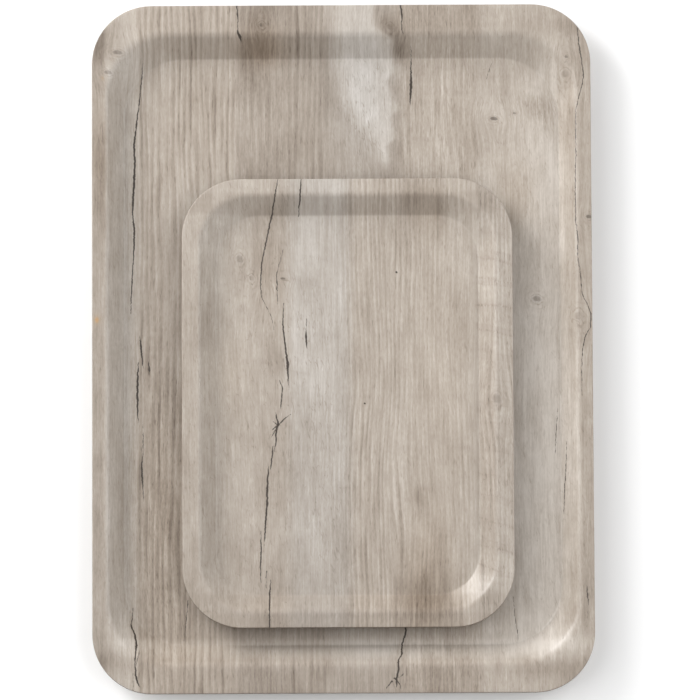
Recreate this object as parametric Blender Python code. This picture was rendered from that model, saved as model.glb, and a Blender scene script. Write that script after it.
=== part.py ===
"""A large moulded laminate serving tray with a small matching tray lying in its well.

Each tray is a stack of thin sheets pressed to one shape in a heated mould: a printed decor sheet
on top, an odd number of cross-laid birch veneers, and a backing sheet underneath. Its section runs
from a flat rim over a rounded shoulder, down a straight wall and round a tight foot into the flat
floor. The small tray is loose and lifts straight out.

Frame: +Z up, +Y along the long side, origin under the middle of the large tray.
"""

import math
from dataclasses import dataclass

import bmesh
import bpy

MM = 0.001

# Driving dimensions
DECOR_THICKNESS = 0.4 * MM
GLUE_LINE = 0.1 * MM
REST_GAP = 0.3 * MM
SMALL_TRAY_OFFSET_X = 3.2 * MM
SMALL_TRAY_OFFSET_Y = -34.3 * MM

# Facets of the round stretches
CORNER_STEPS = 7
SHOULDER_STEPS = 3
FOOT_STEPS = 2


@dataclass
class Tray:
    """One tray, measured on its upper face; the rim and floor insets run inwards from the outline."""

    name: str
    width: float
    length: float
    height: float
    rim_side: float
    rim_end: float
    floor_inset_side: float
    floor_inset_end: float
    outer_radius: float
    floor_radius: float
    wall_angle: float
    shoulder_radius: float
    foot_radius: float
    veneer_count: int
    veneer_thickness: float

    def sheets(self):
        """(name, thickness, material) of each sheet, from the top face down."""
        stack = [("top_decor_sheet", DECOR_THICKNESS, "printed_decor")]
        for number in range(1, self.veneer_count + 1):
            grain = "veneer_lengthwise" if number % 2 else "veneer_crosswise"
            stack.append((f"veneer_ply_{number}", self.veneer_thickness, grain))
        stack.append(("backing_sheet", DECOR_THICKNESS, "backing"))
        return stack

    def thickness(self):
        stack = self.sheets()
        return sum(sheet[1] for sheet in stack) + GLUE_LINE * (len(stack) - 1)


LARGE_TRAY = Tray(
    name="large",
    width=310 * MM,
    length=430 * MM,
    height=20 * MM,
    rim_side=7.5 * MM,
    rim_end=15.5 * MM,
    floor_inset_side=20.2 * MM,
    floor_inset_end=32.0 * MM,
    outer_radius=37 * MM,
    floor_radius=38 * MM,
    wall_angle=math.radians(50),
    shoulder_radius=6.2 * MM,
    foot_radius=1.8 * MM,
    veneer_count=5,
    veneer_thickness=0.6 * MM,
)

SMALL_TRAY = Tray(
    name="small",
    width=205 * MM,
    length=280 * MM,
    height=14.5 * MM,
    rim_side=9.0 * MM,
    rim_end=8.5 * MM,
    floor_inset_side=21.6 * MM,
    floor_inset_end=22.0 * MM,
    outer_radius=37 * MM,
    floor_radius=27 * MM,
    wall_angle=math.radians(44),
    shoulder_radius=4.6 * MM,
    foot_radius=1.8 * MM,
    veneer_count=3,
    veneer_thickness=0.8 * MM,
)

# Sheet materials: colour, roughness
FINISHES = {
    "printed_decor": ((0.42, 0.37, 0.31, 1.0), 0.38),
    "veneer_lengthwise": ((0.50, 0.36, 0.22, 1.0), 0.70),
    "veneer_crosswise": ((0.40, 0.27, 0.16, 1.0), 0.75),
    "backing": ((0.38, 0.33, 0.28, 1.0), 0.50),
}


def clear_scene():
    for old in list(bpy.data.objects):
        bpy.data.objects.remove(old, do_unlink=True)


def make_material(name):
    colour, roughness = FINISHES[name]
    material = bpy.data.materials.new(name)
    material.use_nodes = True
    shader = material.node_tree.nodes["Principled BSDF"]
    shader.inputs["Base Color"].default_value = colour
    shader.inputs["Roughness"].default_value = roughness
    shader.inputs["Metallic"].default_value = 0.0
    material.diffuse_color = colour
    return material


def wall_section(tray):
    """The section from the rim's inner line to the floor, as (run share, drop share, tilt) stations.

    The shoulder is a convex arc that turns down by the wall angle, the wall is straight, and the
    foot is a concave arc that turns back to level. Shares are of the whole run and the whole drop.
    """
    depth = tray.height - tray.thickness()
    turn = tray.wall_angle
    arcs_drop = (tray.shoulder_radius + tray.foot_radius) * (1 - math.cos(turn))
    straight = (depth - arcs_drop) / math.sin(turn)
    points = []
    for step in range(SHOULDER_STEPS + 1):
        tilt = turn * step / SHOULDER_STEPS
        run = tray.shoulder_radius * math.sin(tilt)
        drop = tray.shoulder_radius * (1 - math.cos(tilt))
        points.append((run, drop, tilt))
    foot_start_run = points[-1][0] + straight * math.cos(turn)
    foot_start_drop = points[-1][1] + straight * math.sin(turn)
    for step in range(FOOT_STEPS + 1):
        tilt = turn * (1 - step / FOOT_STEPS)
        run = foot_start_run + tray.foot_radius * (math.sin(turn) - math.sin(tilt))
        drop = foot_start_drop + tray.foot_radius * (math.cos(tilt) - math.cos(turn))
        points.append((run, drop, tilt))
    whole_run = points[-1][0]
    return [(run / whole_run, drop / depth, tilt) for run, drop, tilt in points]


def rounded_rectangle(half_x, half_y, radius, z):
    """Corners counter-clockwise from +X +Y; the straight sides join one arc to the next."""
    points = []
    for corner in range(4):
        start = corner * math.pi / 2
        sign_x = 1 if corner in (0, 3) else -1
        sign_y = 1 if corner in (0, 1) else -1
        for step in range(CORNER_STEPS + 1):
            angle = start + step / CORNER_STEPS * math.pi / 2
            x = sign_x * (half_x - radius) + radius * math.cos(angle)
            y = sign_y * (half_y - radius) + radius * math.sin(angle)
            points.append((x, y, z))
    return points


def surface_rings(tray, depth):
    """Rings of the surface lying this far under the upper face, from the outline to the floor.

    A parallel surface keeps each station's normal: on the tilted wall it moves outwards by the
    sine of the tilt and down by its cosine.
    """
    whole_drop = tray.height - tray.thickness()
    run_side = tray.floor_inset_side - tray.rim_side
    run_end = tray.floor_inset_end - tray.rim_end
    outline = rounded_rectangle(
        tray.width / 2, tray.length / 2, tray.outer_radius, tray.height - depth
    )
    rings = [outline]
    for run_share, drop_share, tilt in wall_section(tray):
        outwards = depth * math.sin(tilt)
        inset_side = tray.rim_side + run_side * run_share
        inset_end = tray.rim_end + run_end * run_share
        radius_change = tray.floor_radius - tray.outer_radius
        rings.append(
            rounded_rectangle(
                tray.width / 2 - inset_side + outwards,
                tray.length / 2 - inset_end + outwards,
                tray.outer_radius + radius_change * (1 + run_share) / 2 + outwards,
                tray.height - whole_drop * drop_share - depth * math.cos(tilt),
            )
        )
    return rings


def make_sheet(tray, name, top_depth, thickness, material, parent):
    """One sheet as a closed loft: its upper face, the trimmed edge, and its lower face."""
    upper = surface_rings(tray, top_depth)
    lower = surface_rings(tray, top_depth + thickness)
    shape = bmesh.new()
    loops = [[shape.verts.new(point) for point in ring] for ring in upper[::-1] + lower]
    count = len(loops[0])
    for inner, outer in zip(loops, loops[1:]):
        for i in range(count):
            j = (i + 1) % count
            shape.faces.new((inner[i], outer[i], outer[j], inner[j]))
    shape.faces.new(loops[0])
    shape.faces.new(loops[-1][::-1])
    bmesh.ops.recalc_face_normals(shape, faces=shape.faces)
    mesh = bpy.data.meshes.new(name)
    shape.to_mesh(mesh)
    shape.free()
    mesh.shade_smooth()
    mesh.set_sharp_from_angle(angle=math.radians(40))
    sheet = bpy.data.objects.new(name, mesh)
    mesh.materials.append(material)
    sheet.parent = parent
    return sheet


def make_tray(tray, place, materials, collection):
    """An empty under the middle of the tray carries its sheets."""
    carrier = bpy.data.objects.new(f"{tray.name}_tray", None)
    carrier.location = place
    collection.objects.link(carrier)
    depth = 0.0
    for name, thickness, finish in tray.sheets():
        sheet = make_sheet(
            tray, f"{tray.name}_{name}", depth, thickness, materials[finish], carrier
        )
        collection.objects.link(sheet)
        depth += thickness + GLUE_LINE
    return carrier


def main():
    clear_scene()
    collection = bpy.data.collections.new("serving_trays")
    bpy.context.scene.collection.children.link(collection)
    materials = {name: make_material(name) for name in FINISHES}
    make_tray(LARGE_TRAY, (0, 0, 0), materials, collection)
    small_place = (
        SMALL_TRAY_OFFSET_X,
        SMALL_TRAY_OFFSET_Y,
        LARGE_TRAY.thickness() + REST_GAP,
    )
    make_tray(SMALL_TRAY, small_place, materials, collection)


main()
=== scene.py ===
"""Two form-pressed serving trays with a weathered-oak print, the small one lying in the large one.

The order is that of the trays' own making: the printed face of each tray, the veneers under it,
the backing sheet, and then the table top, the lamps and the camera. Lengths are in metres; the
places of marks in the print are in millimetres from the middle of the tray that carries them.
"""

import bpy
import numpy as np
from mathutils import Matrix, Vector


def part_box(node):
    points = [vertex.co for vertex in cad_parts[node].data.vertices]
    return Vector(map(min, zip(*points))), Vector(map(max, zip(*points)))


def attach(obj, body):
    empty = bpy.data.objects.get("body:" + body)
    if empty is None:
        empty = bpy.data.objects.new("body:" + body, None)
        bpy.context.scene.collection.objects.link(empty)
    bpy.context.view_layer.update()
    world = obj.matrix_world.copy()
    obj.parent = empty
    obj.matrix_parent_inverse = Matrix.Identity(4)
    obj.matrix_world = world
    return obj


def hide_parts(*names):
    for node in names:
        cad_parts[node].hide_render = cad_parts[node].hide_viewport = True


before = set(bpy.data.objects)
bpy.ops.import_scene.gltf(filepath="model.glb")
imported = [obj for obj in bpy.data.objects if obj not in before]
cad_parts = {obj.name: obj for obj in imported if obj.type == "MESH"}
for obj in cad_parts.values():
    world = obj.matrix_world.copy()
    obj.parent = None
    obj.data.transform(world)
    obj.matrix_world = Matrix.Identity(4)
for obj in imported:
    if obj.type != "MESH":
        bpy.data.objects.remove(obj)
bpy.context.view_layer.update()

MM = 0.001


# ----------------------------
# Large tray, printed face. A sheet of resin-soaked decor paper, pressed hot over the veneers into
# a flat rim, a rounded shoulder, a straight wall and a tight foot. The print is weathered oak.
# ----------------------------

SHEET = 0.4 * MM
GLUE = 0.1 * MM
EASED_EDGE = 0.3 * MM

# rim and foot: distances in from the trimmed edge at the sides and at the ends. corners: radius of
# the outline and of the floor. turn: slope of the wall. bends: shoulder and foot radii. board: the
# whole stack's thickness.
LARGE = {
    "rim": (7.5 * MM, 15.5 * MM),
    "foot": (20.2 * MM, 32.0 * MM),
    "corners": (37 * MM, 38 * MM),
    "turn": np.radians(50),
    "bends": (6.2 * MM, 1.8 * MM),
    "board": 4.4 * MM,
}


def place_on_frame(form, face_node, back_node):
    """Adds the tray's middle, half sizes, rim height and drop, read from its own CAD sheets."""
    low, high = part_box(face_node)
    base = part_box(back_node)[0]
    form["middle"] = ((low.x + high.x) / 2, (low.y + high.y) / 2)
    form["half"] = ((high.x - low.x) / 2, (high.y - low.y) / 2)
    form["top"] = high.z
    form["drop"] = high.z - base.z - form["board"]
    return form


def wall_stations(form, bend_steps, wall_steps):
    """Run share, drop share and tilt down the section, from the rim's inner line to the floor.

    The shoulder is an arc of radius r: run = r sin(tilt), drop = r (1 - cos(tilt)), with the tilt
    going from 0 to the full turn. The wall is a straight line at that tilt. The foot is the same
    arc upside down with its own radius, and brings the tilt back to 0.
    """
    turn = form["turn"]
    shoulder, foot = form["bends"]
    straight = (form["drop"] - (shoulder + foot) * (1 - np.cos(turn))) / np.sin(turn)
    down = np.linspace(0, turn, bend_steps + 1)
    back = down[::-1]
    along = np.linspace(0, straight, wall_steps + 1)[1:-1]
    run_1 = shoulder * np.sin(down)
    drop_1 = shoulder * (1 - np.cos(down))
    run_2 = run_1[-1] + along * np.cos(turn)
    drop_2 = drop_1[-1] + along * np.sin(turn)
    run_3 = run_1[-1] + straight * np.cos(turn) + foot * (np.sin(turn) - np.sin(back))
    drop_3 = drop_1[-1] + straight * np.sin(turn) + foot * (np.cos(back) - np.cos(turn))
    run = np.concatenate([run_1, run_2, run_3])
    drop = np.concatenate([drop_1, drop_2, drop_3])
    tilt = np.concatenate([down, np.full(along.size, turn), back])
    return run / run[-1], drop / drop[-1], tilt


def corner_slides(arc, across, along):
    """Which corner each point of a rounded rectangle belongs to (-1 to 1 in x and y) and its angle.

    Going round from the middle of the -x -y corner, the angle turns through each corner's arc
    while the corner stands still, and stands still along each side while the corner slides.
    """
    steps = [arc // 2, across, arc, along, arc, across, arc, along, arc // 2]
    ends = np.concatenate([[0], np.cumsum(steps)])
    place = np.arange(ends[-1])
    angle = np.interp(place, ends, np.radians([225, 270, 270, 360, 360, 450, 450, 540, 540, 585]))
    slide_x = np.interp(place, ends, [-1, -1, 1, 1, 1, 1, -1, -1, -1, -1])
    slide_y = np.interp(place, ends, [-1, -1, -1, -1, 1, 1, 1, 1, -1, -1])
    return slide_x, slide_y, angle


def rings_at(form, counts, half_x, half_y, radius, height):
    """One rounded-rectangle ring for each entry of the arrays, as points[ring, place, xyz].

    A point is its corner's centre, which is the half size less the radius, plus the radius turned
    through the point's angle.
    """
    slide_x, slide_y, angle = corner_slides(*counts)
    reach_x = (half_x - radius)[:, None] * slide_x + radius[:, None] * np.cos(angle)
    reach_y = (half_y - radius)[:, None] * slide_y + radius[:, None] * np.sin(angle)
    level = np.repeat(height[:, None], angle.size, axis=1)
    x, y = form["middle"]
    return np.stack([x + reach_x, y + reach_y, level], axis=2)


def face_rings(form, counts, depth, bend_steps, wall_steps, rim_steps):
    """Rings of the surface lying depth under the face, from the trimmed edge in to the floor.

    A surface parallel to the face is moved along the face's normal: outwards by depth times the
    sine of the tilt, and down by depth times its cosine. The wall's run is stretched to the side
    and end widths, and the corner radius grows or shrinks in step with the run.
    """
    share, fall, tilt = wall_stations(form, bend_steps, wall_steps)
    outer, inner = form["corners"]
    side = form["rim"][0] + (form["foot"][0] - form["rim"][0]) * share
    end = form["rim"][1] + (form["foot"][1] - form["rim"][1]) * share
    radius = outer + (inner - outer) * (1 + share) / 2
    rim = np.linspace(0, 1, rim_steps + 1)[:-1]
    side = np.concatenate([side[0] * rim, side])
    end = np.concatenate([end[0] * rim, end])
    radius = np.concatenate([outer + (radius[0] - outer) * rim, radius])
    tilt = np.concatenate([np.zeros(rim_steps), tilt])
    fall = np.concatenate([np.zeros(rim_steps), fall])
    shift = depth * np.sin(tilt)
    return rings_at(
        form,
        counts,
        form["half"][0] - side + shift,
        form["half"][1] - end + shift,
        radius + shift,
        form["top"] - form["drop"] * fall - depth * np.cos(tilt),
    )


def floor_patch(ring, arc, across, along):
    """Fills a ring with a grid by joining opposite sides: points[row, column, xyz].

    P(u, v) = (1-v) bottom(u) + v top(u) + (1-u) left(v) + u right(v), less the same blend of the
    four corner points (1-u)(1-v), u(1-v), (1-u)v and uv.
    """
    wide = arc + across
    tall = arc + along
    closed = np.concatenate([ring, ring[:1]])
    bottom = closed[: wide + 1]
    right = closed[wide : wide + tall + 1]
    top = closed[wide + tall : 2 * wide + tall + 1][::-1]
    left = closed[2 * wide + tall :][::-1]
    u = np.linspace(0, 1, wide + 1)[None, :, None]
    v = np.linspace(0, 1, tall + 1)[:, None, None]
    sides = (1 - v) * bottom[None] + v * top[None] + (1 - u) * left[:, None] + u * right[:, None]
    corners = (1 - u) * (1 - v) * bottom[0] + u * (1 - v) * bottom[-1]
    corners = corners + (1 - u) * v * top[0] + u * v * top[-1]
    return sides - corners


def grid_border(tall, wide):
    """Indices of the border of a (tall + 1) by (wide + 1) grid, going round as the ring does."""
    index = np.arange((tall + 1) * (wide + 1)).reshape(tall + 1, wide + 1)
    return np.concatenate([index[0, :-1], index[:-1, -1], index[-1, :0:-1], index[:0:-1, 0]])


def pressed_sheet(name, form, depth, thickness, counts, steps, round_top=0, round_under=0):
    """A closed sheet: gridded floor, rings out to the edge, the edge, rings back in, and a cap.

    counts is the faces round a corner, across a side and along a side. steps is the rings in each
    bend, on the wall and on the rim of the upper surface. round_top and round_under ease the
    trimmed edge by a quarter circle of that radius.
    """
    arc, across, along = counts
    steps_under = (4, 2, 1)
    eased_steps = 3
    upper = face_rings(form, counts, depth, *steps)[::-1]
    lower = face_rings(form, counts, depth + thickness, *steps_under)
    eased = []
    half_x, half_y = form["half"]
    for radius, level, sign in (
        (round_top, form["top"] - depth, -1),
        (round_under, form["top"] - depth - thickness, 1),
    ):
        if radius:
            bend = np.linspace(0, np.pi / 2, eased_steps + 1)
            bend = bend if sign < 0 else bend[::-1]
            inset = radius * (1 - np.sin(bend))
            ring = rings_at(
                form,
                counts,
                half_x - inset,
                half_y - inset,
                form["corners"][0] - inset,
                level + sign * radius * (1 - np.cos(bend)),
            )
            eased.append(ring)
    body = [upper[:-1] if round_top else upper]
    if round_top:
        body.append(eased[0])
    if round_under:
        body.append(eased[-1])
    body.append(lower[1:] if round_under else lower)
    rim_of_cap = 1.5 * MM
    last = lower[-1]
    centre = np.array([*form["middle"], last[0, 2]])
    pull = (last - centre) * (1 - rim_of_cap / form["half"][0])
    body.append((centre + pull)[None])
    rings = np.concatenate(body)
    floor = floor_patch(rings[0], arc, across, along)
    tall, wide = arc + along, arc + across
    inside = floor.reshape(-1, 3)
    points = np.concatenate([inside, rings[1:].reshape(-1, 3)])
    count = rings.shape[1]
    loops = len(inside) + np.arange((len(rings) - 1) * count).reshape(-1, count)
    loops = np.concatenate([grid_border(tall, wide)[None], loops])
    index = np.arange(len(inside)).reshape(tall + 1, wide + 1)
    grid = np.stack([index[:-1, :-1], index[:-1, 1:], index[1:, 1:], index[1:, :-1]], axis=2)
    turned = np.roll(loops, -1, axis=1)
    skirt = np.stack([loops[:-1], loops[1:], turned[1:], turned[:-1]], axis=2)
    faces = np.concatenate([grid.reshape(-1, 4), skirt.reshape(-1, 4)]).tolist()
    faces.append(loops[-1][::-1].tolist())
    mesh = bpy.data.meshes.new(name)
    mesh.from_pydata(points.tolist(), [], faces)
    mesh.shade_smooth()
    mesh.set_sharp_from_angle(angle=np.radians(40))
    mesh.validate()
    piece = bpy.data.objects.new(name, mesh)
    bpy.context.scene.collection.objects.link(piece)
    return piece


def fade(value, low, high):
    """0 below low, 1 above high, and the smooth step t t (3 - 2t) between."""
    t = np.clip((value - low) / (high - low), 0, 1)
    return t * t * (3 - 2 * t)


def strips(x, table):
    """Bands along the board: for each (from, to, softness, amount), amount inside the band."""
    total = np.zeros_like(x)
    for low, high, soft, amount in table:
        total += amount * fade(x, low - soft, low + soft) * (1 - fade(x, high - soft, high + soft))
    return total


def patches(x, y, table):
    """Soft oval patches: amount times exp(-(u/rx)^2 - (v/ry)^2), u leaning with v by lean."""
    total = np.zeros_like(x)
    for centre_x, centre_y, reach_x, reach_y, lean, amount in table:
        v = y - centre_y
        u = x - centre_x - lean * v
        total += amount * np.exp(-((u / reach_x) ** 2) - (v / reach_y) ** 2)
    return total


def split_field(x, y, splits):
    """Offset from the nearest split, its half width there, and a gate that shuts 3 mm away.

    A split runs from point to point (x, y, half width), top to bottom. Its offset at a height is
    x less the line's own x, times the cosine of its lean; past an end the width falls below 0.
    """
    best = np.full(x.shape, -1e3)
    offset = np.zeros_like(x)
    width = np.full(x.shape, -1.0)
    for split in splits:
        line = np.array(split, float)[::-1]
        lean = np.gradient(line[:, 0], line[:, 1])
        away = x - np.interp(y, line[:, 1], line[:, 0])
        away = away / np.sqrt(1 + np.interp(y, line[:, 1], lean) ** 2)
        past = np.maximum(line[0, 1] - y, 0) + np.maximum(y - line[-1, 1], 0)
        half = np.interp(y, line[:, 1], line[:, 2]) - 0.5 * past
        nearer = half - np.abs(away) > best
        best = np.where(nearer, half - np.abs(away), best)
        offset = np.where(nearer, away, offset)
        width = np.where(nearer, half, width)
    gate = 1 - fade(np.abs(offset), 2.2, 3.8)
    return np.stack([offset, np.maximum(width, -2), gate], axis=1)


def knot_field(x, y, knots):
    """Place within the nearest knot, in knot radii, with its core darkness; and its ring strength."""
    best = np.full(x.shape, 9.0)
    local = np.zeros((x.size, 3))
    rings = np.zeros_like(x)
    for centre_x, centre_y, reach_x, reach_y, core, ring in knots:
        u = (x - centre_x) / reach_x
        v = (y - centre_y) / reach_y
        far = np.hypot(u, v)
        nearer = far < best
        best = np.where(nearer, far, best)
        local = np.where(nearer[:, None], np.stack([u, v, np.full_like(u, core)], axis=1), local)
        rings = np.where(nearer, ring * (1 - fade(far, 1.6, 3.0)), rings)
    local[:, 2] *= 1 - fade(best, 1.2, 1.8)
    return local, rings


def bend_grain(x, y, knots, sways):
    """Moves the grain's x so that its lines part round each knot and sway where it grew crooked.

    Round a knot, x less its middle shrinks by 0.6 exp(-(dx / 2.4 rx)^2 - (dy / 4 ry)^2).
    """
    moved = x.copy()
    for centre_x, centre_y, reach_x, reach_y, *_ in knots:
        dx = x - centre_x
        near = np.exp(-((dx / (2.4 * reach_x)) ** 2) - ((y - centre_y) / (4.0 * reach_y)) ** 2)
        moved -= 0.6 * dx * near
    return moved + patches(x, y, sways)


def print_on(piece, form, year, tone, texture, splits, knots, sways):
    """Stores the print's slow-changing fields on the face's points, painted light and shade among
    them, for the shader to draw from.

    tone is the functions for lightness, warmth and ring strength; texture is those for the fine
    grain, the saw marks and the lime wash; year is the width of a year ring in millimetres.
    """
    mesh = piece.data
    place = np.empty(len(mesh.vertices) * 3)
    mesh.vertices.foreach_get("co", place)
    place = place.reshape(-1, 3)
    x = (place[:, 0] - form["middle"][0]) / MM
    y = (place[:, 1] - form["middle"][1]) / MM
    local, rings = knot_field(x, y, knots)
    grain = bend_grain(x, y, knots, sways)
    fields = {
        "grain": np.stack([grain, y, np.full_like(x, year)], axis=1),
        "tone": np.stack([part(x, y) for part in tone], axis=1),
        "texture": np.stack([part(x, y) for part in texture], axis=1),
        "knot": local,
    }
    for number, group in enumerate(splits, 1):
        fields[f"split_{number}"] = split_field(x, y, group)
    for name, values in fields.items():
        layer = mesh.attributes.new(name, "FLOAT_VECTOR", "POINT")
        layer.data.foreach_set("vector", values.astype(np.float32).ravel())
    layer = mesh.attributes.new("knot_rings", "FLOAT", "POINT")
    layer.data.foreach_set("value", rings.astype(np.float32))


# Marks of the large print, from the tray's middle. A split is a line of (x, y, half width); splits
# that cross are in different lists. A knot is (x, y, rx, ry, darkness of its core, of its rings).
# A sway is (x, y, rx, ry, lean, shift of the grain).
LARGE_SPLITS = [
    [
        [(-123.5, 182, 0.1), (-123.8, 177, 0.25), (-124.5, 170, 0.3), (-126, 156, 0.4),
         (-128.5, 136, 0.6), (-129.2, 129, 0.75), (-128.7, 117, 0.7), (-129.3, 105, 0.85),
         (-130, 92, 0.7), (-130.1, 86, 0.4), (-129.2, 78, 0.75), (-129.2, 67, 0.6),
         (-129.9, 56, 0.3), (-130.5, 45, 0.45), (-131.2, 32, 0.35), (-131.2, 23, 0.1)],
        [(-126.6, -6, 0.1), (-127, -13, 0.6), (-127.3, -22, 0.85), (-127.3, -30, 0.75),
         (-127.2, -39, 0.45), (-126.9, -45, 0.1)],
        [(-130.2, -160, 0.1), (-130.5, -165, 0.3), (-131.4, -172, 0.45), (-129, -177, 0.6),
         (-127.8, -184, 0.75), (-128.5, -191, 0.5), (-128.6, -198, 0.45), (-128, -205, 0.75),
         (-126.8, -209, 0.6), (-125.6, -211, 0.2)],
        [(-64.9, 215.5, 0.4), (-64.3, 209.6, 0.6), (-64, 206.5, 0.3), (-64.4, 201, 0.2),
         (-64, 197.6, 0.8), (-62.9, 195.6, 1.1), (-62.2, 193, 0.3)],
        [(43.6, 191, 0.1), (43.6, 183, 0.3), (43.5, 175, 0.6), (43.5, 166, 1.0),
         (43.2, 160, 0.7), (42.8, 153, 0.1)],
        [(146.9, 204, 0.22), (147.2, 198, 0.25), (147.9, 190, 0.42), (149.7, 179, 0.38),
         (150.8, 170, 0.36), (149.1, 161, 0.28), (147.7, 157, 0.22), (145.7, 148, 0.25),
         (145.5, 135, 0.3), (145.6, 121, 0.26), (145, 103, 0.27), (145.1, 78, 0.3),
         (146.4, 68, 0.36), (146.1, 56, 0.26), (147.4, 48, 0.26), (148.9, 32, 0.24),
         (152, 26, 0.3), (154.1, 20, 0.36), (153.7, 12, 0.34), (150.4, 6, 0.34),
         (148.6, -2.5, 0.27), (148, -14, 0.18), (148.1, -31, 0.1)],
        [(39.2, -160, 0.5), (38.5, -172, 0.7), (38.2, -177, 0.7), (36.2, -182.6, 0.6),
         (35.6, -191, 0.5), (33.7, -194.6, 0.5), (33.6, -201.6, 0.7), (32.3, -207, 0.8),
         (32.4, -212, 0.2)],
        [(-96.2, -155, 0.2), (-97.4, -168, 0.25), (-98.7, -181, 0.1)],
    ],
    [
        [(-125.8, 10, 0.1), (-125.1, 3, 0.75), (-124.4, -4, 0.6), (-123.6, -11, 0.1)],
        [(-123.8, -45.4, 0.1), (-123.8, -55.4, 0.25), (-123.9, -65.4, 0.15),
         (-124.7, -69, 0.5), (-124.5, -79, 0.7), (-123.9, -86.6, 0.25), (-123.6, -94, 0.1)],
        [(36.9, 215.5, 0.5), (38.1, 209, 0.7), (37.8, 205, 0.3), (37.8, 200, 0.35),
         (38.7, 196.6, 0.1)],
        [(-125.7, -187, 0.1), (-127, -193, 0.3), (-128.3, -199, 0.1)],
        [(-129.9, -201.5, 0.1), (-129.9, -215.5, 0.3)],
        [(31.6, -205.9, 0.5), (28.4, -209, 0.45), (25.9, -212.7, 0.1)],
        [(32.4, -207.4, 0.5), (34.6, -210.4, 0.3), (35, -213, 0.1)],
        [(104.8, -153.7, 0.1), (105.9, -165.5, 0.2), (108, -181, 0.1)],
        [(150.2, -148.2, 0.1), (150.4, -155.1, 0.5), (151.1, -162, 0.1)],
        [(94.1, 181.3, 0.1), (92.2, 175.6, 0.2), (90.3, 170, 0.1)],
    ],
    [
        [(37.6, -202.6, 0.1), (35.6, -204.6, 0.3), (33.2, -205.4, 0.4)],
        [(33.2, -207, 0.4), (30, -204.6, 0.3), (28.6, -202.8, 0.1)],
        [(133.4, -36, 0.1), (132.2, -52, 0.2), (131.6, -66, 0.1)],
        [(138.6, -58, 0.1), (138.2, -72, 0.22), (137.2, -88, 0.28), (136.6, -104, 0.1)],
        [(-120.4, -6, 0.1), (-120, -11, 0.6), (-119.8, -15, 0.1)],
    ],
]

LARGE_KNOTS = [
    (-139, 185.5, 5, 2.6, 0.4, 0.5),
    (-145, 173, 4, 2.4, 0.35, 0.5),
    (-49.1, 202.4, 3, 3, 0.2, 0.6),
    (30.5, 200.5, 3.5, 4, 0.1, 0.3),
    (95.1, 145.3, 3.8, 2.2, 0.6, 0.6),
    (107.9, 148.7, 1.8, 1.4, 0.45, 0.4),
    (140.1, 181.6, 1.8, 1.8, 0.4, 0.5),
    (139.4, 171, 4.2, 4.6, 0.15, 0.5),
    (121, 31.6, 4.5, 3.4, 0.35, 0.7),
    (146.6, 18.1, 5, 6, 0.1, 0.5),
    (153.3, 80.8, 3, 2.2, 0.6, 0.5),
    (-120, -11.6, 1.2, 2.4, 0.8, 0.3),
]

LARGE_SWAYS = [
    (-100, 60, 26, 60, 0, -2.5),
    (-90, 20, 16, 34, 0, 2.5),
    (-112, -120, 16, 50, 0, 2),
    (15, 150, 24, 50, 0, 3),
    (100, 90, 30, 60, 0, -3),
    (120, -80, 30, 80, 0, 3),
]


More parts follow.
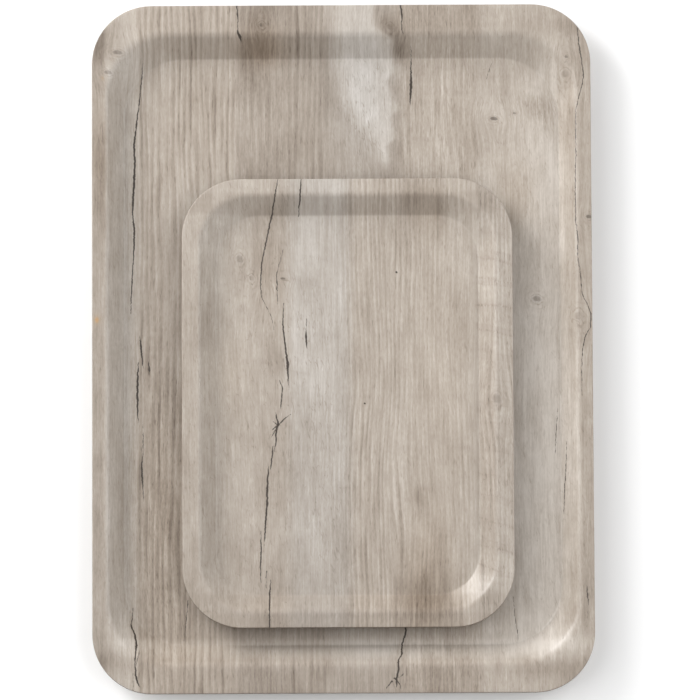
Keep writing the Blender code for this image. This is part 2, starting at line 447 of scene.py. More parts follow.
def large_light(x, y):
    """Pale limed patch with a toothed right edge, dark patches by the knots, greyer right side, and
    painted light and shade on the walls, shoulders and corners.
    """
    teeth = np.interp(
        y,
        [110, 128, 133, 147, 152, 163, 170, 175, 194, 200, 209, 216],
        [32, 28, 33, 31.5, 36, 31, 28.5, 33, 32.5, 23, 21, 21],
    )
    edge = np.interp(y, [110, 120, 132, 145, 161, 182, 215], [30, 22, 17, 8, 0, -5, -5])
    limed = fade(x, edge - 7, edge + 9) * (1 - fade(x, teeth - 2.5, teeth + 2))
    limed = limed * fade(y, 106, 122)
    knots_and_stains = patches(x, y, [
        (-49, 188, 13, 8, 0, -0.45),
        (-50, 205, 7, 14, 0, -0.30),
        (31, 201, 8, 9, -0.4, -0.55),
        (36, 188, 5, 7, 0, -0.75),
        (124, 152, 10, 8, 0, -0.45),
        (106, 92, 12, 22, 0, -0.35),
        (95, 150, 11, 9, 0, 0.25),
        (144, 160, 6, 10, 0, 0.3),
        (-150, 118, 6, 34, 0, -0.35),
        (-151, 150, 5, 10, 0, 0.25),
        (-56, 175, 11, 34, 0, -0.16),
    ])
    clouds = patches(x, y, [
        (-138, -106, 9, 40, 0, -0.12),
        (-113, -100, 16, 90, 0, -0.25),
        (-80, -170, 40, 40, 0, -0.1),
        (-92, -180, 16, 16, 0, -0.28),
        # painted light along the near wall, lifting the shade there
        (15, -190, 50, 8, 0, 0.28),
        (130, -60, 26, 70, 0, 0.22),
        (128, 20, 12, 30, 0, 0.15),
        (132, 120, 10, 16, -0.3, 0.2),
        (60, 120, 10, 60, 0, 0.15),
        (66, 170, 6, 10, 0, 0.25),
        (96, 155, 13, 42, 0, -0.5),
        (120, 192, 15, 20, 0, -0.28),
        (10, 196, 10, 20, 0, -0.2),
    ])
    # Painted shade on three corners where the lamps light them brightly, and along the right shoulder
    # over the lamps' reflection; a painted highlight on the near right corner wall; a small pale
    # patch at the far left corner and a lighter right rim.
    painted_light_at_corners_and_right_wall = patches(x, y, [
        (-146, 176, 7, 9, 0, 0.12),
        (-148, 192, 11, 16, 0, -0.8),
        (-144, -192, 13, 12, 0, -0.8),
        (124, -198, 22, 9, 0, -0.5),
        # painted highlight on the near right corner wall
        (120, -170, 8, 9, 0.4, 0.15),
        (140, -168, 7, 8, 0, -0.28),
        (142, 150, 6, 50, 0, -0.42),
        (143, 50, 5, 50, 0, -0.18),
        (151, 90, 4, 80, 0, 0.22),
    ])
    far_rim = fade(y, 192, 202) * (0.08 + 0.28 * fade(x, 20, 50))
    # Painted shade over the near shoulder, where the key lamp lights a bright band, and a darker near
    # rim.
    near_rim = fade(-y, 192, 202) * (0.2 + 0.24 * fade(x, 20, 50))
    # Painted light on the near wall, lifting the shade at its foot.
    near_wall_light = 0.30 * fade(-y, 178, 183) * (1 - fade(-y, 187, 195))
    # Painted shade along the right shoulder, over the lamps' reflection there, and a darker right
    # rim.
    right_rim = 0.42 * fade(x, 144, 150)
    spots = knots_and_stains + clouds + painted_light_at_corners_and_right_wall
    spots += near_wall_light - far_rim - near_rim - right_rim
    # The band from -147 to -126 is painted light on the left wall, and the board's own paler tone
    # beside its foot.
    bands = strips(x, [(-200, -147, 3, -0.16), (-147, -126, 2, 0.44), (-126, -66, 3, 0.24),
                       (-64, -28, 6, -0.1), (-28, 36, 5, 0.02), (36, 86, 5, 0.2),
                       (86, 137, 5, 0.60), (137, 200, 3, 0.36)])
    return 0.55 * limed + spots + bands


def large_warm(x, y):
    """Warmer brown in the striped boards and round the knots, cooler in the limed patch."""
    bands = strips(x, [(-130, -66, 5, 0.25), (-66, -10, 8, 0.1), (36, 86, 6, 0.3),
                       (88, 200, 6, 0.22)])
    return bands + patches(x, y, [
        (-49, 190, 13, 12, 0, 1.1),
        (14, 165, 22, 45, 0, -0.6),
        (31, 201, 9, 9, 0, 0.3),
        (106, 92, 12, 22, 0, 0.4),
        (-150, 118, 6, 34, 0, 0.5),
        (-108, -110, 20, 80, 0, 0.55),
        (-152, 17.7, 2.2, 3.2, 0, 2.2),
        (-148.6, 169.6, 1.2, 1.2, 0, 2.0),
    ])


def large_stripe(x, y):
    """Strength of the year rings: clear stripes in the left boards, faint elsewhere."""
    rings = strips(x, [(-128, -66, 2.5, 1.0), (-33, -7, 4, 0.75), (36, 86, 6, 0.35),
                       (-66, -33, 5, 0.18), (100, 150, 10, 0.12)])
    limed = patches(x, y, [(14, 160, 20, 45, 0, 1)])
    return rings * (1 - 0.85 * np.clip(limed, 0, 1))


def large_fibre(x, y):
    """Strength of the fine grain."""
    bands = strips(x, [(-200, -132, 4, 0.6), (-132, -66, 4, 0.6), (-66, -33, 6, 0.75),
                       (-33, 34, 6, 0.6), (34, 86, 6, 0.9), (86, 200, 6, 0.62)])
    return bands + patches(x, y, [(124, 152, 11, 9, 0, 0.6), (-112, -100, 16, 110, 0, 0.5)])


def large_chatter(x, y):
    """Strength of the cross marks that the saw left."""
    return patches(x, y, [(110, -120, 30, 60, 0, 0.1)])


def large_lime(x, y):
    """Strength of the lime wash: full in the limed patch, a trace on the right boards and rim."""
    trace = strips(x, [(-200, -126, 5, 0.35), (86, 200, 6, 0.45)])
    return trace + patches(x, y, [(14, 150, 18, 42, 0, 1.0), (-105, -150, 20, 50, 0, 0.5)])


large_form = place_on_frame(LARGE, "large_top_decor_sheet", "large_backing_sheet")

large_face = pressed_sheet(
    "large_tray_face", large_form, 0, SHEET, (44, 146, 212), (5, 9, 7), round_top=EASED_EDGE
)
large_year = 3.9
print_on(
    large_face, large_form, large_year, (large_light, large_warm, large_stripe),
    (large_fibre, large_chatter, large_lime), LARGE_SPLITS, LARGE_KNOTS, LARGE_SWAYS,
)


def add(tree, kind, inputs=None, **settings):
    """A shader node with its properties set and its inputs filled, by a value or by a link."""
    node = tree.nodes.new("ShaderNode" + kind)
    for key, value in settings.items():
        setattr(node, key, value)
    for key, value in (inputs or {}).items():
        if isinstance(value, bpy.types.NodeSocket):
            tree.links.new(value, node.inputs[key])
        else:
            node.inputs[key].default_value = value
    return node


def calc(tree, operation, *values, clamp=False):
    """One Math node's result."""
    filled = dict(enumerate(values))
    return add(tree, "Math", filled, operation=operation, use_clamp=clamp).outputs[0]


def noise(tree, x, y, detail=2.0, roughness=0.5, z=0.0):
    """Noise read at (x, y, z), about 0.5 in the middle."""
    place = add(tree, "CombineXYZ", {"X": x, "Y": y, "Z": z}).outputs[0]
    settings = {"Vector": place, "Scale": 1.0, "Detail": detail, "Roughness": roughness}
    return add(tree, "TexNoise", settings).outputs["Fac"]


def grain_noise(tree, u, v, wide, long, detail=2.0, roughness=0.5, layer=0.0):
    """Noise in blots wide across the grain and long along it, in millimetres; layers differ."""
    across = calc(tree, "DIVIDE", u, wide)
    along = calc(tree, "DIVIDE", v, long)
    return noise(tree, across, along, detail, roughness, layer)


def ramp(tree, value, low, high, start=0.0, end=1.0, smooth=True):
    """value from low to high becomes start to end, and is held outside."""
    kind = "SMOOTHSTEP" if smooth else "LINEAR"
    settings = {"Value": value, "From Min": low, "From Max": high, "To Min": start, "To Max": end}
    return add(tree, "MapRange", settings, interpolation_type=kind).outputs["Result"]


def blend_colours(tree, share, first, second, mode="MIX"):
    """Two colours mixed, or multiplied, by share; 6 and 7 are the node's colour sockets."""
    filled = {0: share, 6: first, 7: second}
    return add(tree, "Mix", filled, data_type="RGBA", blend_type=mode).outputs[2]


def shader_group(name, inputs, outputs):
    """An empty node group with its sockets, its input node and its output node."""
    tree = bpy.data.node_groups.new(name, "ShaderNodeTree")
    for label, kind in inputs:
        tree.interface.new_socket(label, in_out="INPUT", socket_type="NodeSocket" + kind)
    for label, kind in outputs:
        tree.interface.new_socket(label, in_out="OUTPUT", socket_type="NodeSocket" + kind)
    return tree, tree.nodes.new("NodeGroupInput"), tree.nodes.new("NodeGroupOutput")


def oak_grain_group():
    """Year rings, fibres, pores and saw marks drawn along grain coordinates in millimetres.

    The year is the whole part of u / Year plus a slow wander. Its line darkens slowly through the
    fraction and closes fast. Shade = fibres - 0.66 rings - 0.45 pores - 0.8 saw marks. Pores is
    the share of open grain.
    """
    tree, given, result = shader_group(
        "oak_grain",
        [("Grain", "Vector"), ("Year", "Float"), ("Rings", "Float"), ("Fibre", "Float"),
         ("Chatter", "Float")],
        [("Shade", "Float"), ("Pores", "Float")],
    )
    u, v, _ = add(tree, "SeparateXYZ", {"Vector": given.outputs["Grain"]}).outputs

    # Year rings, which wander along the board and differ in strength from year to year
    wander = grain_noise(tree, u, v, 19.0, 150.0, 3.0)
    ripple = grain_noise(tree, u, v, 6.0, 26.0, 2.0)
    phase = calc(tree, "DIVIDE", u, given.outputs["Year"])
    phase = calc(tree, "MULTIPLY_ADD", wander, 3.0, phase)
    phase = calc(tree, "MULTIPLY_ADD", ripple, 0.55, phase)
    year = calc(tree, "FLOOR", phase)
    inside = calc(tree, "FRACT", phase)
    late = ramp(tree, inside, 0.10, 0.70)
    close = ramp(tree, inside, 0.74, 1.0, 1.0, 0.0)
    line = calc(tree, "MULTIPLY", late, close)
    swell = noise(tree, calc(tree, "MULTIPLY", year, 0.73), calc(tree, "DIVIDE", v, 60.0), 2.0)
    swell = ramp(tree, swell, 0.3, 0.72, 0.25, 1.1)

    # Fibres in three widths, which also fray the rings
    broad = grain_noise(tree, u, v, 2.6, 70.0, 3.0, 0.6, 3.0)
    fine = grain_noise(tree, u, v, 0.95, 20.0, 3.0, 0.65, 7.0)
    speck = grain_noise(tree, u, v, 0.9, 3.2, 2.0, 0.6, 11.0)
    frayed = ramp(tree, fine, 0.34, 0.62, 0.35, 1.3)
    rings = calc(tree, "MULTIPLY", calc(tree, "MULTIPLY", line, swell), given.outputs["Rings"])
    rings = calc(tree, "MULTIPLY", rings, frayed)
    fibre = calc(tree, "MULTIPLY", calc(tree, "SUBTRACT", broad, 0.5), 1.3)
    fibre = calc(tree, "MULTIPLY_ADD", calc(tree, "SUBTRACT", fine, 0.5), 1.7, fibre)
    fibre = calc(tree, "MULTIPLY_ADD", calc(tree, "SUBTRACT", speck, 0.5), 0.9, fibre)
    fibre = calc(tree, "MULTIPLY", fibre, given.outputs["Fibre"])

    # Pores: short dark ticks, more of them on a ring
    tick = grain_noise(tree, u, v, 0.85, 8.0, 1.5, 0.5, 19.0)
    tick = ramp(tree, tick, 0.60, 0.72)
    crowd = calc(tree, "MULTIPLY_ADD", rings, 0.8, given.outputs["Fibre"])
    pores = calc(tree, "MULTIPLY", tick, crowd, clamp=True)

    # Saw marks: slanting strokes in bunches, broken up by the fibres
    drift = grain_noise(tree, u, v, 30.0, 11.0, 2.0, 0.5, 29.0)
    slant = calc(tree, "MULTIPLY_ADD", u, 0.28, calc(tree, "MULTIPLY_ADD", drift, 9.0, v))
    stroke = calc(tree, "PINGPONG", calc(tree, "DIVIDE", slant, 4.1), 0.5)
    group = calc(tree, "PINGPONG", calc(tree, "DIVIDE", slant, 15.0), 0.5)
    row = calc(tree, "MULTIPLY", ramp(tree, stroke, 0.0, 0.32, 1.0, 0.45),
               ramp(tree, group, 0.06, 0.30, 1.0, 0.0))
    row = calc(tree, "MULTIPLY", row, given.outputs["Chatter"])
    nicks = calc(tree, "MULTIPLY", ramp(tree, speck, 0.38, 0.60), ramp(tree, fine, 0.36, 0.56, 0.3))
    flats = ramp(tree, speck, 0.46, 0.36)
    marks = calc(tree, "MULTIPLY", calc(tree, "MULTIPLY_ADD", flats, -0.35, nicks), row)

    shade = calc(tree, "MULTIPLY_ADD", rings, -0.66, fibre)
    shade = calc(tree, "MULTIPLY_ADD", pores, -0.45, shade)
    shade = calc(tree, "MULTIPLY_ADD", marks, -0.8, shade)
    tree.links.new(shade, result.inputs["Shade"])
    tree.links.new(pores, result.inputs["Pores"])
    return tree


def split_group():
    """A drying split: ink where the half width, made ragged by noise, exceeds the offset.

    Split holds the offset, the half width and the gate that split_field works out.
    """
    tree, given, result = shader_group(
        "drying_split", [("Split", "Vector"), ("Grain", "Vector")], [("Ink", "Float")]
    )
    offset, half_width, gate = add(tree, "SeparateXYZ", {"Vector": given.outputs["Split"]}).outputs
    u, v, _ = add(tree, "SeparateXYZ", {"Vector": given.outputs["Grain"]}).outputs
    jog = noise(tree, calc(tree, "DIVIDE", v, 3.2), 0.0, 3.0, 0.6, 41.0)
    away = calc(tree, "MULTIPLY_ADD", calc(tree, "SUBTRACT", jog, 0.5), 1.5, offset)
    ragged = grain_noise(tree, u, v, 0.9, 3.0, 2.0, 0.6, 47.0)
    half = calc(tree, "MULTIPLY", half_width, 0.85)
    half = calc(tree, "MULTIPLY_ADD", calc(tree, "SUBTRACT", ragged, 0.52), 1.05, half)
    depth = calc(tree, "SUBTRACT", half, calc(tree, "ABSOLUTE", away))
    ink = calc(tree, "MULTIPLY", ramp(tree, depth, -0.22, 0.22), gate)
    open_end = ramp(tree, half_width, 0.0, 0.12)
    tree.links.new(calc(tree, "MULTIPLY", ink, open_end), result.inputs["Ink"])
    return tree


oak_grain = oak_grain_group()
drying_split = split_group()


def field(tree, name):
    """The three parts of one of the face's stored fields, and the whole vector."""
    node = add(tree, "Attribute", attribute_name=name)
    parts = add(tree, "SeparateXYZ", {"Vector": node.outputs["Vector"]}).outputs
    return parts[0], parts[1], parts[2], node.outputs["Vector"]


def oak_print_material():
    """Satin melamine face printed as weathered oak.

    tone = 0.60 + 0.42 light + 0.42 grain shade + 0.36 cloud, less the knots' rings and the hair
    cracks, plus the lime flecks; a palette from dark late wood to pale lime turns it into colour.
    """
    material = bpy.data.materials.new("weathered_oak_print")
    material.use_nodes = True
    tree = material.node_tree
    shader = tree.nodes["Principled BSDF"]
    u, v, year, grain = field(tree, "grain")
    light, warm, rings, _ = field(tree, "tone")
    fibre, chatter, lime, _ = field(tree, "texture")

    cloud = grain_noise(tree, u, v, 26.0, 60.0, 3.0, 0.55, 53.0)
    puff = grain_noise(tree, u, v, 7.0, 17.0, 3.0, 0.6, 59.0)
    cloud = calc(tree, "SUBTRACT", calc(tree, "MULTIPLY_ADD", puff, 0.7, cloud), 0.85)
    values = {"Grain": grain, "Year": year, "Rings": rings, "Fibre": fibre, "Chatter": chatter}
    wood = add(tree, "Group", values, node_tree=oak_grain)

    # Knots: broken rings round a dark core
    knot_u, knot_v, core, _ = field(tree, "knot")
    ring_strength = add(tree, "Attribute", attribute_name="knot_rings").outputs["Fac"]
    wobble = noise(tree, knot_u, knot_v, 2.0, 0.5, 61.0)
    far = calc(tree, "POWER", calc(tree, "MULTIPLY_ADD", knot_u, knot_u,
                                   calc(tree, "MULTIPLY", knot_v, knot_v)), 0.5)
    far = calc(tree, "MULTIPLY_ADD", calc(tree, "SUBTRACT", wobble, 0.5), 1.1, far)
    loops = calc(tree, "SINE", calc(tree, "MULTIPLY", far, 8.5))
    arcs = noise(tree, calc(tree, "MULTIPLY", knot_u, 1.7), knot_v, 1.0, 0.5, 65.0)
    loops = calc(tree, "MULTIPLY", ramp(tree, loops, -0.3, 1.0, -0.35, 1.0),
                 ramp(tree, arcs, 0.35, 0.6, 0.15, 1.2))
    near = ramp(tree, far, 0.7, 2.2, 1.0, 0.0)
    knot_rings = calc(tree, "MULTIPLY", calc(tree, "MULTIPLY", loops, near), ring_strength)
    knot_core = calc(tree, "MULTIPLY", ramp(tree, far, 0.3, 0.75, 1.0, 0.0), core)

    # Hair cracks and pale flecks of the lime wash
    hair = noise(tree, calc(tree, "MULTIPLY_ADD", v, 0.06, calc(tree, "DIVIDE", u, 3.4)),
                 calc(tree, "DIVIDE", v, 26.0), 2.0, 0.55, 67.0)
    hair = ramp(tree, calc(tree, "ABSOLUTE", calc(tree, "SUBTRACT", hair, 0.5)), 0.0, 0.016, 1.0, 0.0)
    gaps = grain_noise(tree, u, v, 4.0, 7.0, 1.0, 0.5, 71.0)
    hair = calc(tree, "MULTIPLY", calc(tree, "MULTIPLY", hair, ramp(tree, gaps, 0.40, 0.55)), lime)
    fleck = grain_noise(tree, u, v, 1.5, 10.0, 2.0, 0.6, 73.0)
    wash = calc(tree, "MULTIPLY", ramp(tree, puff, 0.42, 0.62), lime)
    fleck = calc(tree, "MULTIPLY", ramp(tree, fleck, 0.55, 0.68), wash)

    # Colour: the palette, a warm or cool tint, rust stains, knot cores and splits
    # light is the print's lightness, with the painted light and shade of the walls, shoulders and
    # corners
    tone = calc(tree, "MULTIPLY_ADD", light, 0.42, 0.60)
    tone = calc(tree, "MULTIPLY_ADD", wood.outputs["Shade"], 0.42, tone)
    tone = calc(tree, "MULTIPLY_ADD", cloud, 0.36, tone)
    tone = calc(tree, "MULTIPLY_ADD", knot_rings, -0.20, tone)
    tone = calc(tree, "MULTIPLY_ADD", hair, -0.28, tone)
    tone = calc(tree, "MULTIPLY_ADD", fleck, 0.17, tone)
    palette = add(tree, "ValToRGB", {"Fac": tone})
    stops = palette.color_ramp.elements
    stops[0].position = 0.0
    stops[0].color = (0.069, 0.052, 0.040, 1)
    stops[1].position = 1.0
    stops[1].color = (0.537, 0.500, 0.459, 1)
    for position, colour in (
        (0.30, (0.187, 0.153, 0.123, 1)),
        (0.55, (0.301, 0.260, 0.220, 1)),
        (0.75, (0.394, 0.353, 0.310, 1)),
    ):
        stops.new(position).color = colour
    warmth = ramp(tree, warm, -1.0, 1.0, 0.0, 1.0, smooth=False)
    tint = blend_colours(tree, warmth, (0.96, 1.0, 1.05, 1), (1.05, 0.99, 0.92, 1))
    colour = blend_colours(tree, 1.0, palette.outputs["Color"], tint, "MULTIPLY")
    stain = ramp(tree, warm, 1.1, 2.2)
    colour = blend_colours(tree, stain, colour, (0.40, 0.24, 0.11, 1))
    colour = blend_colours(tree, knot_core, colour, (0.045, 0.030, 0.022, 1))
    ink = None
    for number in (1, 2, 3):
        split = add(tree, "Attribute", attribute_name=f"split_{number}").outputs["Vector"]
        values = {"Split": split, "Grain": grain}
        found = add(tree, "Group", values, node_tree=drying_split).outputs["Ink"]
        ink = found if ink is None else calc(tree, "MAXIMUM", ink, found)
    colour = blend_colours(tree, ink, colour, (0.040, 0.030, 0.023, 1))
    tree.links.new(colour, shader.inputs["Base Color"])

    # Gloss and relief: open pores are duller and sunk a little
    mottle = grain_noise(tree, u, v, 9.0, 14.0, 3.0, 0.6, 83.0)
    gloss = ramp(tree, mottle, 0.3, 0.7, 0.33, 0.41)
    gloss = calc(tree, "MULTIPLY_ADD", wood.outputs["Pores"], 0.08, gloss)
    tree.links.new(gloss, shader.inputs["Roughness"])
    orange_peel = grain_noise(tree, u, v, 1.3, 1.6, 2.0, 0.5, 89.0)
    height = calc(tree, "MULTIPLY_ADD", wood.outputs["Pores"], -0.35, orange_peel)
    bump = add(tree, "Bump", {"Height": height, "Strength": 0.12, "Distance": 0.00008})
    tree.links.new(bump.outputs["Normal"], shader.inputs["Normal"])
    return material


oak_print = oak_print_material()
large_face.data.materials.append(oak_print)
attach(large_face, "large_tray")
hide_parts("large_top_decor_sheet")


# ----------------------------
# Small tray, printed face. The same decor paper from another stretch of the roll, pressed to the
# small mould, whose rim is as wide at the ends as at the sides.
# ----------------------------

SMALL = {
    "rim": (9.0 * MM, 8.5 * MM),
    "foot": (21.6 * MM, 22.0 * MM),
    "corners": (37 * MM, 27 * MM),
    "turn": np.radians(44),
    "bends": (4.6 * MM, 1.8 * MM),
    "board": 3.6 * MM,
}

SMALL_SPLITS = [
    [
        [(-42.8, 140.5, 0.2), (-44.7, 129, 0.45), (-46.9, 118, 0.55), (-50, 104, 0.5),
         (-53.1, 89, 0.45), (-53.9, 74.5, 0.4), (-53.1, 67, 0.2), (-50.5, 62, 0.15),
         (-47.1, 55, 0.25), (-45.6, 47, 0.1)],
        [(-42.2, 15.5, 0.2), (-40.4, 10, 0.4), (-41.5, 0, 0.5), (-41.8, -3, 0.1)],
        [(-49.1, -38, 0.2), (-49.7, -44, 0.6), (-50.1, -53, 0.75), (-50.2, -62, 0.7),
         (-51.2, -72.5, 0.65), (-51.7, -81, 0.5), (-51.9, -88, 0.1)],
        [(-48.2, -109, 0.2), (-48.7, -117, 0.55), (-48.9, -126, 0.5), (-48.9, -140.5, 0.5)],
        [(-43.4, -12.6, 0.5), (-42.2, -9.4, 0.25), (-42.4, -7, 0.1)],
        [(-46.9, -10.2, 0.1), (-44.4, -12, 0.35), (-43.2, -13, 0.3)],
        [(-25.3, 54.3, 0.1), (-25.7, 46.8, 0.25), (-25.7, 42.4, 0.8), (-25.4, 36.8, 0.4),
         (-25.1, 35, 0.1)],
    ],
    [
        [(-28.4, 140.5, 0.3), (-29, 129, 0.65), (-29.7, 122.6, 0.4), (-30.1, 117.7, 0.1)],
        [(-39.5, 63.8, 0.2), (-40.2, 50, 0.45), (-39.1, 40.6, 0.6), (-38, 31.8, 0.6),
         (-37.1, 25.5, 1.1), (-37.3, 20.5, 0.6), (-36.4, 9.3, 0.1)],
        [(-44.8, -4.8, 0.2), (-43.9, -8.8, 0.5), (-43.3, -12.5, 0.9), (-44.6, -17, 0.7),
         (-44.6, -22.6, 0.5), (-45.6, -29.4, 0.1)],
        [(-54.2, -78.7, 0.1), (-53.9, -90.5, 0.55), (-54.5, -100.5, 0.45), (-54.3, -111, 0.1)],
    ],
    [
        [(-39.4, 98.3, 0.1), (-43.9, 82, 0.25), (-43.6, 72, 0.35), (-43.2, 62.5, 0.1)],
        [(-35.5, -5.8, 0.1), (-38.3, -8.2, 0.35), (-40.8, -10.1, 0.45), (-43.3, -12.6, 0.3),
         (-45.2, -14.5, 0.35), (-47.6, -16, 0.1)],
        [(-46.4, -25.7, 0.2), (-46.8, -29.4, 0.5), (-47.6, -37, 0.45), (-48, -41.3, 0.1)],
        [(-50.8, -103.6, 0.2), (-51.1, -114.2, 0.2)],
        [(-43.4, -13, 0.4), (-40.6, -14.2, 0.2), (-38.2, -13.6, 0.1)],
        [(-43.6, -14, 0.4), (-46.4, -18.4, 0.25), (-47.8, -20.6, 0.1)],
    ],
]

SMALL_KNOTS = [
    (-66.8, 90.9, 3.6, 4.8, 0.25, 0.5),
    (-59.5, 79, 2.6, 3.6, 0.1, 0.7),
    (-39.9, 79, 2.6, 1.3, 0.6, 0.5),
    (30.6, 82.6, 1.1, 1.3, 1.0, 0.2),
    (10.5, 0.5, 1.0, 1.0, 1.0, 0.1),
    (92.3, 1, 4.5, 6, 0.2, 0.25),
]

SMALL_SWAYS = [
    (30, -40, 22, 45, 0, 2),
    (18, 10, 18, 40, 0, -2),
    (50, -70, 18, 35, 0, -2.5),
    (60, 40, 20, 40, 0, 2),
    (-70, 40, 20, 40, 0, 3),
]


def small_light(x, y):
    """A pale limed middle, a brown blotch low on the right, a light right edge, and painted shade on
    the walls and the near left corner.
    """
    edge = np.interp(y, [-140, -60, 40, 100, 140], [-14, -12, -36, -34, -30])
    limed = fade(x, edge - 8, edge + 6) * (1 - fade(x, -7, 2)) * fade(y, -60, 20)
    blotch_and_right_wall_shade = patches(x, y, [
        (50, -110, 15, 34, 0.05, -0.42),
        (45, -112, 5, 6, 0, -0.2),
        (44, -120, 12, 20, 0, -0.3),
        (62, -120, 3, 22, 0, -0.25),
        (46, -122, 14, 14, 0, -0.2),
        (57, -85, 4, 9, 0, -0.2),
        (46, -62, 8, 16, 0, -0.22),
        (43, -59, 3, 5, 0, -0.3),
        (66, -38, 6, 24, 0, -0.2),
        # painted shade on the right wall
        (88, -74, 5, 26, 0, -0.2),
    ])
    stains_and_corner_shade = patches(x, y, [
        (44, 128, 8, 14, -0.2, -0.45),
        (58, 125, 5, 14, 0, -0.35),
        (-45, 118, 18, 6, 0, -0.1),
        (-62, 85, 12, 16, 0, -0.2),
        (-44, 30, 6, 14, -0.3, -0.3),
        (-60, -94, 8, 14, 0, -0.25),
        (-72, -95, 14, 30, 0, -0.15),
        # painted shade over the lamps' highlight on the near left corner
        (-86, -122, 9, 12, 0, -0.28),
    ])
    clouds = patches(x, y, [
        (-3, 134, 12, 8, 0, 0.2),
        (1, 46, 5, 36, 0, 0.22),
        (70, 40, 12, 40, 0, -0.18),
        (38, 45, 8, 26, 0, -0.12),
        (-20, -60, 14, 50, 0, 0.12),
        (92, 60, 8, 50, 0, 0.12),
    ])
    # Painted shade on the near wall, and a darker near rim.
    near_rim = 0.15 * fade(-y, 117, 121) + 0.14 * fade(-y, 130, 133)
    # Painted shade on the far wall.
    far_wall_shade = 0.18 * fade(y, 117, 120) * (1 - fade(y, 130, 133))
    left_side = 0.19 * fade(-x, 91, 96) + 0.1 * fade(-x, 28, 40)
    spots = blotch_and_right_wall_shade + stains_and_corner_shade + clouds
    spots -= near_rim + far_wall_shade + left_side
    # The band from 83 to 94, lower than those beside it, is painted shade on the right wall.
    bands = strips(x, [(-110, -60, 5, 0.38), (-62, -30, 6, 0.24), (-30, 2, 6, 0.12),
                       (2, 60, 5, 0.33), (60, 82, 4, 0.42), (83, 94, 2, 0.22), (94, 110, 2, 0.3)])
    return 0.30 * limed + spots + bands - 0.05


def small_warm(x, y):
    """Warm stripes on the right, cool limed middle."""
    bands = strips(x, [(-110, -40, 8, 0.1), (-36, 2, 6, -0.4), (2, 80, 5, 0.2), (81, 110, 2, 0.0)])
    return bands + patches(x, y, [
        (48, -112, 15, 40, 0.05, 0.6),
        (60, 20, 24, 80, 0, 0.2),
        (-48, 80, 10, 30, 0, 0.2),
        (-74, 20, 12, 24, 0, 0.3),
        (50, 120, 10, 15, 0, 0.3),
    ])


def small_stripe(x, y):
    """Year rings: clear over the right half, nearly none on the left."""
    bands = strips(x, [(-1, 34, 4, 0.75), (34, 80, 8, 0.5), (81, 110, 1.5, 0.6),
                       (-14, -1, 4, 0.25), (-110, -30, 6, 0.08)])
    return bands * (1 - 0.4 * np.clip(patches(x, y, [(66, 50, 14, 50, 0, 1)]), 0, 1))


def small_fibre(x, y):
    """Strength of the fine grain."""
    return strips(x, [(-110, -30, 5, 0.55), (-30, -2, 5, 0.6), (-2, 80, 5, 0.7),
                      (81, 110, 1.5, 0.8)])


def small_chatter(x, y):
    """Saw marks: strong on the right rim, light in the limed middle."""
    along = np.interp(y, [-120, -105, -85, -55, -35, 30, 50, 95, 110],
                      [0.3, 0.8, 0.75, 0.6, 0.35, 0.4, 0.9, 0.85, 0.3])
    right = strips(x, [(80, 110, 1.5, 0.9)]) * along
    return right + patches(x, y, [(-20, 85, 14, 30, 0, 0.45), (-28, 20, 12, 22, 0, 0.35)])


def small_lime(x, y):
    """Strength of the lime wash: full in the middle, a trace on the left and on the right rim."""
    trace = strips(x, [(-110, -34, 5, 0.5), (81, 110, 2, 0.4)])
    return trace + patches(x, y, [(-22, 30, 16, 60, 0, 0.9), (-12, -70, 14, 60, 0, 0.7)])


small_form = place_on_frame(SMALL, "small_top_decor_sheet", "small_backing_sheet")

small_face = pressed_sheet(
    "small_tray_face", small_form, 0, SHEET, (36, 108, 166), (5, 9, 8), round_top=EASED_EDGE
)
small_year = 3.0
print_on(
    small_face, small_form, small_year, (small_light, small_warm, small_stripe),
    (small_fibre, small_chatter, small_lime), SMALL_SPLITS, SMALL_KNOTS, SMALL_SWAYS,
)
small_face.data.materials.append(oak_print)
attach(small_face, "small_tray")
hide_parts("small_top_decor_sheet")


# ----------------------------
# Veneers of both trays. Rotary-cut birch, laid crosswise sheet by sheet and glued under the face;
# only their trimmed edges show, and those are coloured dark brown.
# ----------------------------


def dark_veneer_material(name, lengthwise, colour, streak):
    """Dark brown veneer: noise drawn out along its grain mixes colour and streak.

    Streaks show on the edges that the grain runs along, and dots where it ends.
    """
    material = bpy.data.materials.new(name)
    material.use_nodes = True
    tree = material.node_tree
    shader = tree.nodes["Principled BSDF"]
    place = add(tree, "TexCoord").outputs["Object"]
    across_grain, along_grain, through = 900.0, 60.0, 1600.0
    stretch = (across_grain, along_grain, through)
    if not lengthwise:
        stretch = (along_grain, across_grain, through)
    scaled = add(tree, "Mapping", {"Vector": place, "Scale": stretch}).outputs[0]
    fibre = add(tree, "TexNoise", {"Vector": scaled, "Scale": 1.0, "Detail": 3.0}).outputs["Fac"]
    share = ramp(tree, fibre, 0.35, 0.65)
    tree.links.new(blend_colours(tree, share, streak, colour), shader.inputs["Base Color"])
    tree.links.new(ramp(tree, fibre, 0.3, 0.7, 0.55, 0.4), shader.inputs["Roughness"])
    bump = add(tree, "Bump", {"Height": fibre, "Strength": 0.25, "Distance": 0.0001})
    tree.links.new(bump.outputs["Normal"], shader.inputs["Normal"])
    return material


veneer_finish = [
    dark_veneer_material("veneer_along", True, (0.17, 0.115, 0.075, 1), (0.10, 0.066, 0.043, 1)),
    dark_veneer_material("veneer_across", False, (0.12, 0.080, 0.052, 1), (0.07, 0.046, 0.031, 1)),
]

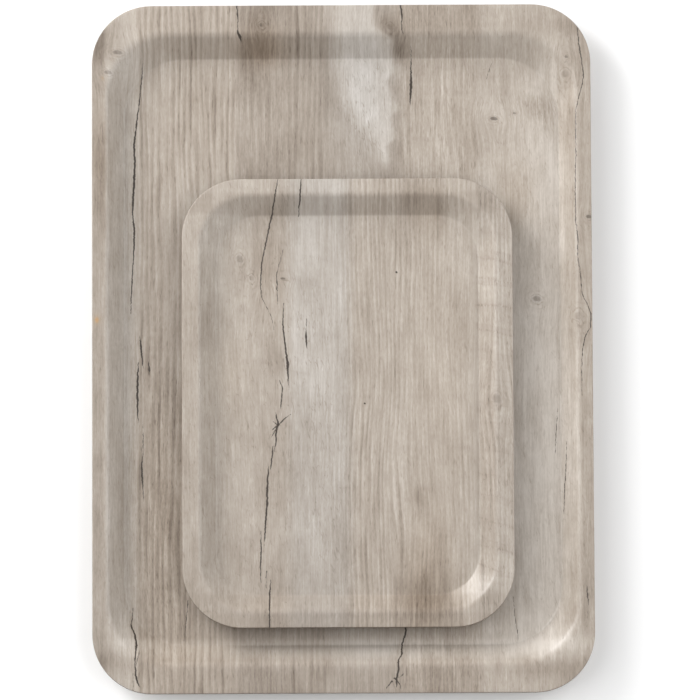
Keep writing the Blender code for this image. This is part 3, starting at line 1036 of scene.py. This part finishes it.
for tray, form, count, veneer in (
    ("large", large_form, 5, 0.6 * MM),
    ("small", small_form, 3, 0.8 * MM),
):
    for number in range(count):
        depth = SHEET + GLUE + number * (veneer + GLUE)
        ply = pressed_sheet(
            f"{tray}_tray_ply_{number + 1}", form, depth, veneer, (16, 6, 6), (4, 2, 1)
        )
        ply.data.materials.append(veneer_finish[number % 2])
        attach(ply, f"{tray}_tray")
        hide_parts(f"{tray}_veneer_ply_{number + 1}")


# ----------------------------
# Backing sheets. A plain balancing laminate with a quiet oak grain, pressed under each tray with
# the rest of the stack, so that the board stays flat; its lower edge is eased by sanding.
# ----------------------------


def backing_material():
    """Matt laminate with the grain of the face, but no marks."""
    material = bpy.data.materials.new("oak_backing")
    material.use_nodes = True
    tree = material.node_tree
    shader = tree.nodes["Principled BSDF"]
    place = add(tree, "TexCoord").outputs["Object"]
    to_millimetres = (1 / MM, 1 / MM, 0.0)
    grain = add(tree, "Mapping", {"Vector": place, "Scale": to_millimetres}).outputs[0]
    values = {"Grain": grain, "Year": 4.5, "Rings": 0.45, "Fibre": 0.5, "Chatter": 0.0}
    wood = add(tree, "Group", values, node_tree=oak_grain)
    tone = calc(tree, "MULTIPLY_ADD", wood.outputs["Shade"], 0.45, 0.55, clamp=True)
    colour = blend_colours(tree, tone, (0.12, 0.088, 0.062, 1), (0.40, 0.33, 0.26, 1))
    tree.links.new(colour, shader.inputs["Base Color"])
    tree.links.new(
        calc(tree, "MULTIPLY_ADD", wood.outputs["Pores"], 0.12, 0.46), shader.inputs["Roughness"]
    )
    bump = add(
        tree, "Bump", {"Height": wood.outputs["Shade"], "Strength": 0.15, "Distance": 0.0001}
    )
    tree.links.new(bump.outputs["Normal"], shader.inputs["Normal"])
    return material


oak_backing = backing_material()

for tray, form in (("large", large_form), ("small", small_form)):
    back = pressed_sheet(
        f"{tray}_tray_back", form, form["board"] - SHEET, SHEET, (24, 8, 8), (5, 2, 2),
        round_under=EASED_EDGE,
    )
    back.data.materials.append(oak_backing)
    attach(back, f"{tray}_tray")
    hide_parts(f"{tray}_backing_sheet")


# ----------------------------
# Table top, lamps and camera. A plain white sweep, two broad lamps overhead, a key lamp at the far
# left with a low one under it, a weak low lamp at the near right, pale walls, and a long lens
# almost straight above the trays.
# ----------------------------

sweep_level = -0.2 * MM
sweep_corners = [(x, y, sweep_level) for x, y in ((-4, -4), (4, -4), (4, 4), (-4, 4))]
sweep_mesh = bpy.data.meshes.new("white_sweep")
sweep_mesh.from_pydata(sweep_corners, [], [(0, 1, 2, 3)])
sweep = bpy.data.objects.new("white_sweep", sweep_mesh)
bpy.context.scene.collection.objects.link(sweep)
sweep_finish = bpy.data.materials.new("white_paper")
sweep_finish.use_nodes = True
paper = sweep_finish.node_tree.nodes["Principled BSDF"]
paper.inputs["Base Color"].default_value = (0.90, 0.90, 0.90, 1)
paper.inputs["Roughness"].default_value = 0.9
paper.inputs["Specular IOR Level"].default_value = 0.2
sweep_mesh.materials.append(sweep_finish)

surround = bpy.data.worlds.new("white_surround")
surround.use_nodes = True
sky = surround.node_tree

# The walls are brighter near the table than overhead
direction = add(sky, "TexCoord").outputs["Generated"]
climb = add(sky, "SeparateXYZ", {"Vector": direction}).outputs[2]
sky.links.new(ramp(sky, climb, 0.25, 0.65, 0.70, 0.28), sky.nodes["Background"].inputs["Strength"])
sky.nodes["Background"].inputs["Color"].default_value = (1.0, 1.0, 1.0, 1)
bpy.context.scene.world = surround


LAMP_DISTANCE = 1.8


def softbox(name, around, down, size, power):
    """A round lamp, at an angle round from +X and an angle down from straight above."""
    lamp = bpy.data.lights.new(name, "AREA")
    lamp.shape = "DISK"
    lamp.size = size
    lamp.energy = power
    around, down = np.radians((around, down))
    towards = Vector((np.sin(down) * np.cos(around), np.sin(down) * np.sin(around), np.cos(down)))
    holder = bpy.data.objects.new(name, lamp)
    holder.location = towards * LAMP_DISTANCE
    holder.rotation_euler = towards.to_track_quat("Z", "Y").to_euler()
    bpy.context.scene.collection.objects.link(holder)


softbox("right_softbox", 4, 42, 2.2, 20.5)
softbox("left_softbox", 175, 42, 2.2, 18)
softbox("key_lamp", 142, 60, 0.9, 20.5)
softbox("low_key_lamp", 131, 77, 0.75, 12)
softbox("low_fill_lamp", 316, 74, 0.95, 3.6)

camera_distance = 5.606
camera_tilt = np.radians(8.0)
camera_roll = np.radians(-0.27)
target = Vector((4.7 * MM, 1.0 * MM, 0))
camera_data = bpy.data.cameras.new("camera")
camera_data.sensor_width = 36
camera_data.lens = 464
camera_data.clip_end = 50
camera = bpy.data.objects.new("camera", camera_data)
view = Vector((0, -np.tan(camera_tilt), 1)).normalized()
right = Vector((1, 0, 0))
up = view.cross(right)
roll = Matrix.Rotation(camera_roll, 3, view)
axes = Matrix((roll @ right, roll @ up, view)).transposed()
camera.matrix_world = Matrix.Translation(target + view * camera_distance) @ axes.to_4x4()
bpy.context.scene.collection.objects.link(camera)
bpy.context.scene.camera = camera
bpy.context.scene.view_settings.view_transform = "Standard"

bpy.context.view_layer.update()
